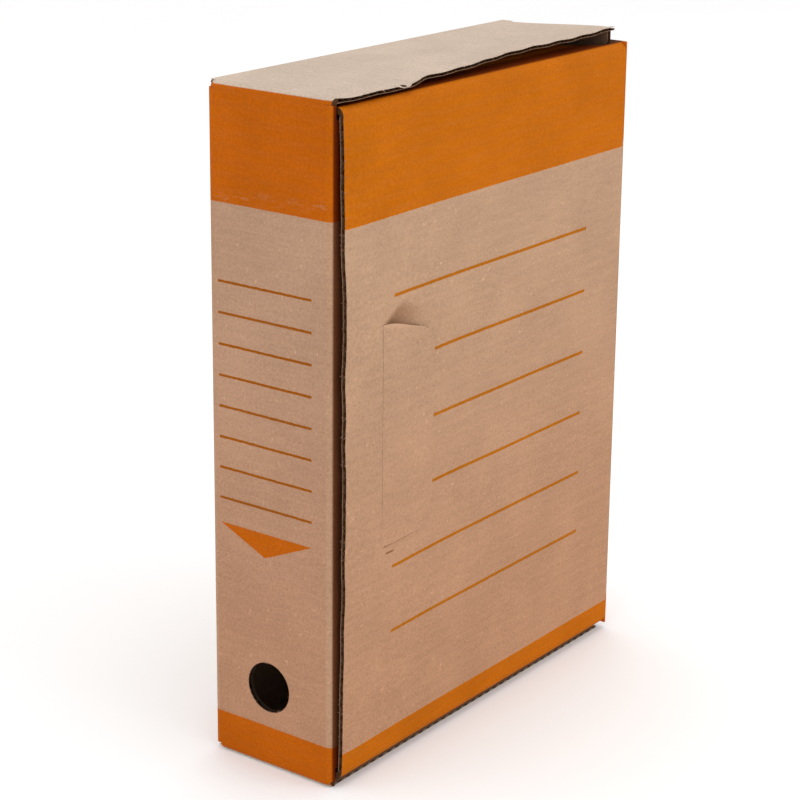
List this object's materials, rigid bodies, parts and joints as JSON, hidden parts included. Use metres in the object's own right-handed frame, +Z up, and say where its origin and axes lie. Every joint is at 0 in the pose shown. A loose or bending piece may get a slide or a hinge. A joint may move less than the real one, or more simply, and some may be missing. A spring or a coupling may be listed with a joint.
{
  "type": "archival box",
  "caption": "Upright folded corrugated board archive box with a printed spine and hinged side lid locked by a tuck-through tongue, a finger hole low in the spine and folding end walls",
  "frame": {"origin": "Middle of the box's footprint (240 by 76 mm, without the lock tongue), on the surface it stands on", "axes": "-X spine with the finger hole, +X fore-edge, -Y lid, +Y back, +Z up. The tongue lies outside the lid, so the overall box reaches 2.7 mm further on -Y than on +Y"},
  "size_m": [0.24, 0.0787, 0.33],
  "materials": {
    "kraft_liner": "raw brown kraft liner, matt, with fine fibres and flecks",
    "printed_liner": "brown kraft liner flexo printed with flat orange bands, ruled lines and a solid triangle",
    "fluting_medium": "raw recycled fluting paper, matt"
  },
  "bodies": {
    "case": {"spine_panel_outer_liner": "printed_liner", "spine_panel_fluting": "fluting_medium", "spine_panel_inner_liner": "kraft_liner", "back_panel_outer_liner": "kraft_liner", "back_panel_fluting": "fluting_medium", "back_panel_inner_liner": "kraft_liner", "fore_edge_panel_outer_liner": "kraft_liner", "fore_edge_panel_fluting": "fluting_medium", "fore_edge_panel_inner_liner": "kraft_liner"},
    "lid": {"lid_panel_outer_liner": "printed_liner", "lid_panel_fluting": "fluting_medium", "lid_panel_inner_liner": "kraft_liner"},
    "flange": {"spine_flange_outer_liner": "kraft_liner", "spine_flange_fluting": "fluting_medium", "spine_flange_inner_liner": "kraft_liner", "tongue_neck": "kraft_liner"},
    "tongue": {"lock_tongue_outer_liner": "printed_liner", "lock_tongue_fluting": "fluting_medium", "lock_tongue_inner_liner": "kraft_liner"},
    "top_wall": {"top_wall_outer_liner": "kraft_liner", "top_wall_fluting": "fluting_medium", "top_wall_inner_liner": "kraft_liner"},
    "top_tuck": {"top_tuck_flap_outer_liner": "kraft_liner", "top_tuck_flap_fluting": "fluting_medium", "top_tuck_flap_inner_liner": "kraft_liner"},
    "bottom_wall": {"bottom_wall_outer_liner": "kraft_liner", "bottom_wall_fluting": "fluting_medium", "bottom_wall_inner_liner": "kraft_liner"},
    "bottom_tuck": {"bottom_tuck_flap_outer_liner": "kraft_liner", "bottom_tuck_flap_fluting": "fluting_medium", "bottom_tuck_flap_inner_liner": "kraft_liner"},
    "back_top_flap": {"back_top_dust_flap_outer_liner": "kraft_liner", "back_top_dust_flap_fluting": "fluting_medium", "back_top_dust_flap_inner_liner": "kraft_liner"},
    "back_bottom_flap": {"back_bottom_dust_flap_outer_liner": "kraft_liner", "back_bottom_dust_flap_fluting": "fluting_medium", "back_bottom_dust_flap_inner_liner": "kraft_liner"},
    "lid_top_flap": {"lid_top_dust_flap_outer_liner": "kraft_liner", "lid_top_dust_flap_fluting": "fluting_medium", "lid_top_dust_flap_inner_liner": "kraft_liner"},
    "lid_bottom_flap": {"lid_bottom_dust_flap_outer_liner": "kraft_liner", "lid_bottom_dust_flap_fluting": "fluting_medium", "lid_bottom_dust_flap_inner_liner": "kraft_liner"}
  },
  "joints": [
    {"name": "lid_hinge", "type": "hinge", "parent": "case", "child": "lid", "pos_m": [0.12, -0.038, 0.165], "axis": [0, 0, 1], "range_deg": [0, 180], "deforming": ["lock_tongue_outer_liner", "lock_tongue_fluting", "lock_tongue_inner_liner", "tongue_neck"]},
    {"name": "flange_fold", "type": "hinge", "parent": "case", "child": "flange", "pos_m": [-0.1167, -0.0317, 0.165], "axis": [0, 0, 1], "range_deg": [0, 90]},
    {"name": "tongue_fold", "type": "hinge", "parent": "flange", "child": "tongue", "pos_m": [-0.0884, -0.0407, 0.166], "axis": [0, 0, -1], "range_deg": [0, 90]},
    {"name": "top_wall_hinge", "type": "hinge", "parent": "case", "child": "top_wall", "pos_m": [-0.12, 0, 0.33], "axis": [0, -1, 0], "range_deg": [0, 105]},
    {"name": "top_tuck_fold", "type": "hinge", "parent": "top_wall", "child": "top_tuck", "pos_m": [0.1122, 0, 0.3267], "axis": [0, 1, 0], "range_deg": [0, 90]},
    {"name": "bottom_wall_hinge", "type": "hinge", "parent": "case", "child": "bottom_wall", "pos_m": [-0.12, 0, 0], "axis": [0, 1, 0], "range_deg": [0, 105]},
    {"name": "bottom_tuck_fold", "type": "hinge", "parent": "bottom_wall", "child": "bottom_tuck", "pos_m": [0.1122, 0, 0.0033], "axis": [0, -1, 0], "range_deg": [0, 90]},
    {"name": "back_top_flap_fold", "type": "hinge", "parent": "case", "child": "back_top_flap", "pos_m": [0, 0.0347, 0.3237], "axis": [1, 0, 0], "range_deg": [0, 90]},
    {"name": "back_bottom_flap_fold", "type": "hinge", "parent": "case", "child": "back_bottom_flap", "pos_m": [0, 0.0347, 0.0063], "axis": [-1, 0, 0], "range_deg": [0, 90]},
    {"name": "lid_top_flap_fold", "type": "hinge", "parent": "lid", "child": "lid_top_flap", "pos_m": [0, -0.0347, 0.3228], "axis": [-1, 0, 0], "range_deg": [0, 40]},
    {"name": "lid_bottom_flap_fold", "type": "hinge", "parent": "lid", "child": "lid_bottom_flap", "pos_m": [0, -0.0347, 0.0072], "axis": [1, 0, 0], "range_deg": [0, 40]}
  ]
}
